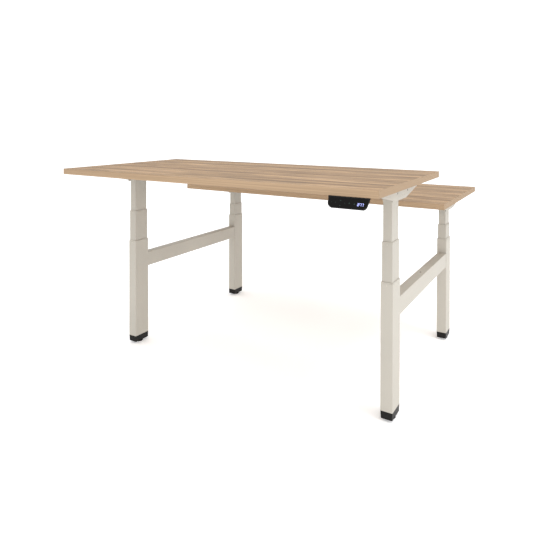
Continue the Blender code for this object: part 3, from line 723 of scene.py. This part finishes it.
SEGMENTS = {
    "a": ((0, 2), (1, 2)),
    "b": ((1, 2), (1, 1)),
    "c": ((1, 1), (1, 0)),
    "d": ((0, 0), (1, 0)),
    "e": ((0, 1), (0, 0)),
    "f": ((0, 2), (0, 1)),
    "g": ((0, 1), (1, 1)),
}
FIGURES = {"2": "abdeg", "5": "acdfg", "7": "abc", "8": "abcdefg", "1": "bc", "3": "abcdg"}
SHOWN = {"front": "877", "back": "725"}
SYMBOL_RISE = 0.00006
SYMBOL_HEIGHT = 0.0024
SYMBOL_LINE = 0.0002
CHEVRON_SIZE = 0.0018
CHEVRON_LINE = 0.00035
RING_RADIUS = 0.0014
RING_LINE = 0.0003
RING_STEPS = 20
DISPLAY_CORNER = (0.0312, -0.0280)
DISPLAY_STEP = 0.0066
FIGURE_SIZE = (0.0042, 0.0088)
FIGURE_LINE = 0.0006
POINT_CENTRE = (0.0438, -0.0279)
POINT_HALF = 0.0004
BEAD_TOP = (0.0646, -0.0035)
BEAD_CENTRE = (0.0440, -0.0210)
BEAD_RADIUS = 0.0180


def bar(start, end, half):
    """Outline of one display segment: a bar with pointed ends."""
    start, end = Vector(start), Vector(end)
    along = (end - start).normalized() * half
    beside = Vector((-along.y, along.x))
    points = (start, start + along + beside, end - along + beside, end)
    points += (end - along - beside, start + along - beside)
    return [tuple(point) for point in points]


def add_figure(bm, figure, x, y, width, height, half, matrix):
    """A seven-segment figure with its lower left corner at x, y. It leans a little to the right."""
    lean = 0.10 * width
    for segment in FIGURES[figure]:
        ends = []
        for column, row in SEGMENTS[segment]:
            ends.append(Vector((x + column * width + row * lean, y + row * height / 2)))
        gap = (ends[1] - ends[0]).normalized() * half * 0.3
        prism(bm, bar(ends[0] + gap, ends[1] - gap, half), 0, SYMBOL_RISE, matrix)


def ring_symbol(bm, x, y, matrix, start=0, sweep=360):
    """A ring, or the part of one that sweep covers from start, in degrees."""
    inner, outer = RING_RADIUS - RING_LINE, RING_RADIUS + RING_LINE
    turns = [math.radians(start + sweep * i / RING_STEPS) for i in range(RING_STEPS + 1)]
    for a, b in zip(turns, turns[1:]):
        corners = ((inner, a), (outer, a), (outer, b), (inner, b))
        outline = [(x + r * math.cos(t), y + r * math.sin(t)) for r, t in corners]
        prism(bm, outline, 0, SYMBOL_RISE, matrix)


def chevron(bm, x, y, up, matrix):
    """An arrowhead that points up for up = 1 and down for up = -1."""
    lift = up * CHEVRON_SIZE / 2
    for end in (-1, 1):
        outline = bar((x + end * CHEVRON_SIZE, y - lift), (x, y + lift), CHEVRON_LINE)
        prism(bm, outline, 0, SYMBOL_RISE, matrix)


def make_handset_details(desk):
    """Symbols, display and bead. Places on the sloping face are across and up from its top middle."""
    body = desk + "_desk"
    user = user_frame(desk)
    x = abs(centre(desk + "_handset_housing").x)
    board_low, board_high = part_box(desk + "_desktop")
    reach = (board_high.y - board_low.y) / 2
    drop = top_of(desk) - underside(desk) + PART_GAP
    tilt = Matrix.Rotation(math.pi / 2 - HANDSET_TILT, 4, "X")
    face = user @ Matrix.Translation((x, -reach, -drop)) @ tilt @ Matrix.Translation((0, 0, 0.0002))

    symbols = bmesh.new()
    add_figure(symbols, "1", -0.0522, -0.0226, 0.0010, SYMBOL_HEIGHT, SYMBOL_LINE, face)
    add_figure(symbols, "2", -0.0391, -0.0232, 0.0014, SYMBOL_HEIGHT, SYMBOL_LINE, face)
    chevron(symbols, -0.0237, -0.0143, 1, face)
    chevron(symbols, -0.0227, -0.0313, -1, face)
    add_figure(symbols, "3", -0.0094, -0.0240, 0.0014, SYMBOL_HEIGHT, SYMBOL_LINE, face)
    ring_symbol(symbols, 0.0053, -0.0215, face)
    ring_symbol(symbols, 0.0213, -0.0227, face, 120, 300)
    prism(symbols, bar((0.0213, -0.0225), (0.0213, -0.0207), SYMBOL_LINE), 0, SYMBOL_RISE, face)
    add_piece(desk + "_handset_symbols", body, "symbols", symbols)

    figures = bmesh.new()
    start_x, start_y = DISPLAY_CORNER
    for i, figure in enumerate(SHOWN[desk]):
        left = start_x + DISPLAY_STEP * i
        add_figure(figures, figure, left, start_y, *FIGURE_SIZE, FIGURE_LINE, face)
    corners = ((-1, -1), (1, -1), (1, 1), (-1, 1))
    point = [(POINT_CENTRE[0] + a * POINT_HALF, POINT_CENTRE[1] + b * POINT_HALF) for a, b in corners]
    prism(figures, point, 0, SYMBOL_RISE, face)
    add_piece(desk + "_handset_figures", body, "figures", figures)

    # Moulded bead at both ends of the face, just outside the panel, coloured lighter grey than the
    # case: a painted highlight along its bevel
    bead = bmesh.new()
    for end in (-1, 1):
        path = [BEAD_TOP]
        for turn in (0, -18, -36, -54, -72):
            across, up = math.cos(math.radians(turn)), math.sin(math.radians(turn))
            path.append((BEAD_CENTRE[0] + BEAD_RADIUS * across, BEAD_CENTRE[1] + BEAD_RADIUS * up))
        for first, second in zip(path, path[1:]):
            outline = bar((end * first[0], first[1]), (end * second[0], second[1]), 0.00022)
            prism(bead, outline, -0.0004, 0.00003, face)
    add_piece(desk + "_handset_bead", body, "rim", bead)


# ---- All of the small pieces --------------------------------------------------------------------

for side_name, side in SIDES.items():
    make_beam_screws(side_name)
    for desk in ENDS:
        make_clips(desk, side_name, side)
        make_arm_screws(desk, side_name, side)
        make_foot_details(desk, side_name)
        make_motor_details(desk, side_name, side)
for desk in ENDS:
    make_control_box_details(desk)
    make_handset_details(desk)

# ---- Floor, light and camera --------------------------------------------------------------------

FLOOR_REACH = 60.0
LIGHT_AIM = (0.3, 0, 0.4)
# Place, target, side of the square in metres, and power in watts
STUDIO_LIGHTS = {
    "right_low": ((4.0, -0.6, 2.9), LIGHT_AIM, 2.0, 27),
    "top_right": ((1.6, -0.2, 4.4), LIGHT_AIM, 2.0, 34),
    "front_right": ((2.6, -3.8, 2.0), LIGHT_AIM, 2.4, 14),
    "back": ((1.2, 4.5, 2.6), (0, 0, 0.4), 2.6, 8),
}
WORLD_STRENGTH = 1.08
# The camera found by the perspective fit. The shift lets its axis stay nearly level.
CAMERA_PLACE = (1.1981, -2.4378, 1.0737)
CAMERA_DOWN = 0.767
CAMERA_HEADING = 34.67
CAMERA_LENS = 36.25
CAMERA_SHIFT = (0.1036, -0.2546)


def soft_light(name, location, target, size, power):
    """Square area light, aimed at target."""
    data = bpy.data.lights.new(name, "AREA")
    data.size = size
    data.energy = power
    light = bpy.data.objects.new(name, data)
    aim = Vector(target) - Vector(location)
    turn = aim.to_track_quat("-Z", "Y").to_matrix().to_4x4()
    light.matrix_world = Matrix.Translation(location) @ turn
    bpy.context.scene.collection.objects.link(light)


def make_floor():
    """White paper floor, which glows a little so that it meets the white of the world."""
    mesh = bpy.data.meshes.new("floor")
    far = FLOOR_REACH
    corners = [(-far, -far, 0), (far, -far, 0), (far, far, 0), (-far, far, 0)]
    mesh.from_pydata(corners, [], [(0, 1, 2, 3)])
    paper = Shader("floor_paper", Specular_IOR_Level=0.0, Roughness=1.0)
    paper.set(Emission_Color=(1, 1, 1, 1), Emission_Strength=0.30)
    fleck = paper.noise(paper.position(), 300.0, 2.0)
    paper.set(Base_Color=paper.mix(fleck, (0.985, 0.985, 0.985, 1), (0.995, 0.995, 0.995, 1)))
    mesh.materials.append(paper.material)
    floor = bpy.data.objects.new("floor", mesh)
    bpy.context.scene.collection.objects.link(floor)


make_floor()
for light_name, (place, target, size, power) in STUDIO_LIGHTS.items():
    soft_light(light_name, place, target, size, power)

world = bpy.data.worlds.new("studio")
world.use_nodes = True
world.node_tree.nodes["Background"].inputs["Color"].default_value = (1, 1, 1, 1)
world.node_tree.nodes["Background"].inputs["Strength"].default_value = WORLD_STRENGTH
bpy.context.scene.world = world
bpy.context.scene.view_settings.view_transform = "Standard"

lens = bpy.data.cameras.new("camera")
lens.sensor_width = 36
lens.lens = CAMERA_LENS
lens.shift_x, lens.shift_y = CAMERA_SHIFT
lens.clip_end = 200
camera = bpy.data.objects.new("camera", lens)
camera.location = CAMERA_PLACE
camera.rotation_euler = (math.radians(90 - CAMERA_DOWN), 0, math.radians(CAMERA_HEADING))
bpy.context.scene.collection.objects.link(camera)
bpy.context.scene.camera = camera
